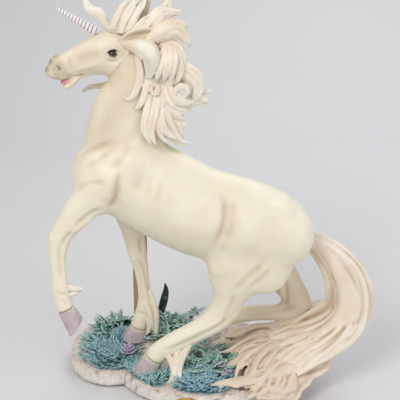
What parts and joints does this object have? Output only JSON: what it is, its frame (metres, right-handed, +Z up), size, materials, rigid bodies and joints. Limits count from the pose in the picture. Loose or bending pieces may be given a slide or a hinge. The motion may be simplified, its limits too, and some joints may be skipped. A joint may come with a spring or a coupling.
{
  "type": "unicorn figurine",
  "caption": "Standing display figurine of a rearing, half kneeling unicorn with a flowing mane and tail on a lobed base with cast foliage.",
  "frame": {"origin": "underside of the felt pad, below the middle plane of the unicorn, near the middle of the base", "axes": "+Z up; the unicorn faces -X; its left side, which the picture shows, faces -Y"},
  "size_m": [0.3348, 0.1849, 0.412],
  "materials": {
    "body_resin": "hand-painted ivory cast resin, eggshell sheen",
    "hair_resin": "ivory cast resin with a tan wash in the grooves",
    "hoof_resin": "mauve-grey painted resin, satin",
    "horn_resin": "pearl white painted resin with lilac-grey grooves",
    "eye_gloss": "dark brown gloss paint",
    "mouth_resin": "pink painted resin, satin",
    "earth_resin": "speckled stone-coloured cast resin",
    "teal_foliage_resin": "teal painted resin with pale dry-brushed tips",
    "green_foliage_resin": "dark green painted resin with teal edges",
    "post_resin": "tan-brown painted resin",
    "plate_brass": "brushed brass sheet",
    "pad_felt": "pressed felt",
    "pin_steel": "drawn steel rod",
    "zinc_screw_steel": "zinc plated"
  },
  "bodies": {
    "root": {"back_leaves": "green_foliage_resin", "base": "earth_resin", "cheek_lock": "hair_resin", "crest_curl_high": "hair_resin", "crest_curl_low": "hair_resin", "crest_curl_mid": "hair_resin", "crest_fall": "hair_resin", "crown_lock": "hair_resin", "eyes": "eye_gloss", "far_ear": "body_resin", "far_fore_dowel": "pin_steel", "far_fore_feather": "hair_resin", "far_fore_hoof": "hoof_resin", "far_fore_leg": "body_resin", "far_hind_dowel": "pin_steel", "far_hind_hoof": "hoof_resin", "far_hind_leg": "body_resin", "felt_pad": "pad_felt", "fern": "green_foliage_resin", "foot_pins": "pin_steel", "forelock": "hair_resin", "grass_front": "teal_foliage_resin", "grass_left": "teal_foliage_resin", "grass_right": "teal_foliage_resin", "head": "body_resin", "head_dowel": "pin_steel", "horn": "horn_resin", "horn_pin": "pin_steel", "ivy": "green_foliage_resin", "lower_jaw": "body_resin", "name_plate": "plate_brass", "nape_lock": "hair_resin", "near_ear": "body_resin", "near_fore_dowel": "pin_steel", "near_fore_feather": "hair_resin", "near_fore_hoof": "hoof_resin", "near_fore_leg": "body_resin", "near_hind_dowel": "pin_steel", "near_hind_feather": "hair_resin", "near_hind_hoof": "hoof_resin", "near_hind_leg": "body_resin", "neck": "body_resin", "neck_dowel": "pin_steel", "neck_lock": "hair_resin", "poll_tuft": "hair_resin", "post_screw": "zinc_screw_steel", "shoulder_lock": "hair_resin", "side_sweep": "hair_resin", "support_post": "post_resin", "tail_dowel": "pin_steel", "tail_fall": "hair_resin", "throat_lock": "hair_resin", "tongue": "mouth_resin", "torso": "body_resin", "train_far": "hair_resin", "train_middle": "hair_resin", "train_near": "hair_resin", "wither_lock_lower": "hair_resin", "wither_lock_upper": "hair_resin"}
  },
  "joints": []
}
